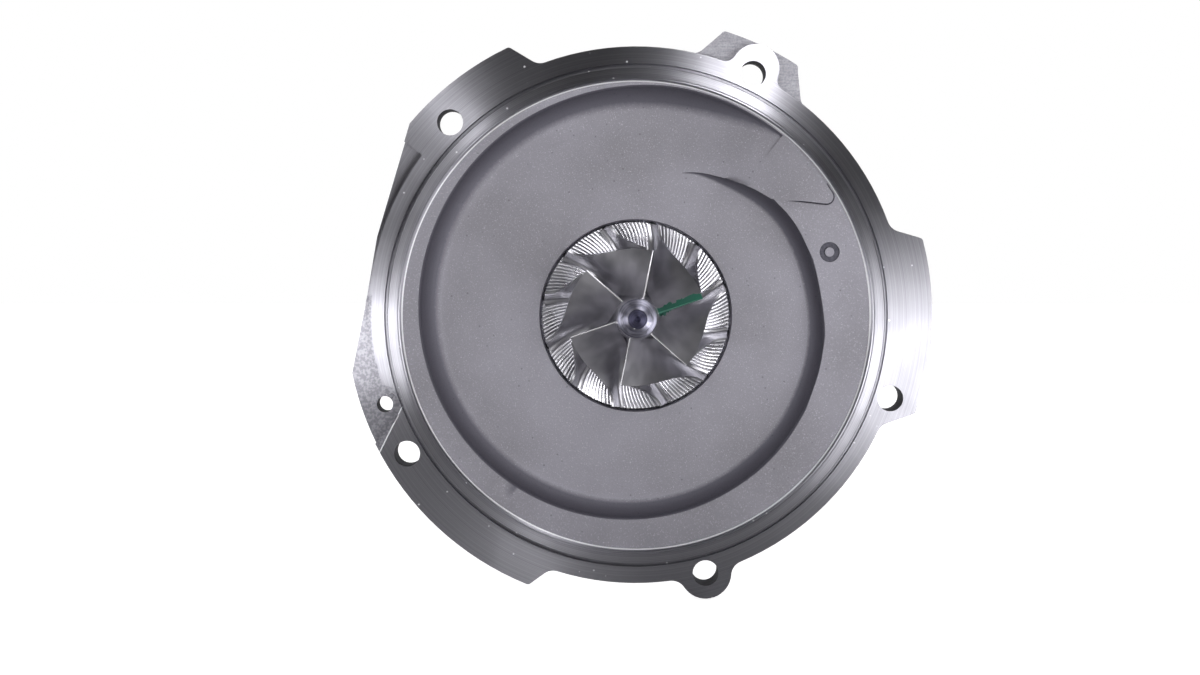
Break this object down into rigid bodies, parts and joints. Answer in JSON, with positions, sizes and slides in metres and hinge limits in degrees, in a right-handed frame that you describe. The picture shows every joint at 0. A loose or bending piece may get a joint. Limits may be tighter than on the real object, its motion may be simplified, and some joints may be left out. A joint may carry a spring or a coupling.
{
  "type": "turbo cartridge",
  "caption": "Turbocharger cartridge: shaft with compressor and turbine wheels in floating bearings, water cooled bearing housing and compressor back plate with a spiral recess.",
  "frame": {"origin": "on the shaft's axis, in the plane of the back plate's joint face with the compressor housing", "axes": "-Y along the shaft towards the compressor end, +Z towards the oil inlet, oil drain down"},
  "size_m": [0.157, 0.121, 0.1536],
  "materials": {
    "cast_plate": "as cast, with turned and milled faces",
    "housing_iron": "as cast, machined on its joint faces",
    "zinc_bolts": "zinc plated",
    "ring_rubber": "matte",
    "hardened_pins": "ground",
    "pressed_sheet": "bright pressed sheet",
    "bearing_bronze": "fine turned",
    "seal_steel": "ground",
    "shield_sheet": "pressed stainless sheet",
    "plug_steel": "pressed and plated",
    "shaft_steel": "ground",
    "turbine_alloy": "investment cast nickel alloy",
    "wheel_aluminium": "milled, with bright blade edges",
    "nut_steel": "polished"
  },
  "bodies": {
    "housing": {"compressor_back_plate": "cast_plate", "bearing_housing": "housing_iron", "back_plate_bolts": "zinc_bolts", "back_plate_o_ring": "ring_rubber", "back_plate_dowel": "hardened_pins", "oil_deflector": "pressed_sheet", "thrust_bearing": "bearing_bronze", "thrust_bearing_screws": "hardened_pins", "compressor_seal_ring": "seal_steel", "turbine_seal_rings": "seal_steel", "front_bearing_circlips": "seal_steel", "rear_bearing_circlips": "seal_steel", "heat_shield": "shield_sheet", "jacket_core_plug": "plug_steel", "turbine_housing_dowel": "hardened_pins"},
    "rotor": {"rotor_shaft": "shaft_steel", "turbine_wheel": "turbine_alloy", "thrust_collar": "shaft_steel", "seal_sleeve": "shaft_steel", "compressor_wheel": "wheel_aluminium", "shaft_lock_nut": "nut_steel"},
    "front_bush": {"front_journal_bearing": "bearing_bronze"},
    "rear_bush": {"rear_journal_bearing": "bearing_bronze"}
  },
  "joints": [
    {"name": "rotor_spin", "type": "hinge", "parent": "housing", "child": "rotor", "pos_m": [0, 0, 0], "axis": [0, 1, 0], "continuous": true},
    {"name": "front_bearing_spin", "type": "hinge", "parent": "housing", "child": "front_bush", "pos_m": [0, 0.03125, 0], "axis": [0, 1, 0], "continuous": true},
    {"name": "rear_bearing_spin", "type": "hinge", "parent": "housing", "child": "rear_bush", "pos_m": [0, 0.05175, 0], "axis": [0, 1, 0], "continuous": true}
  ]
}
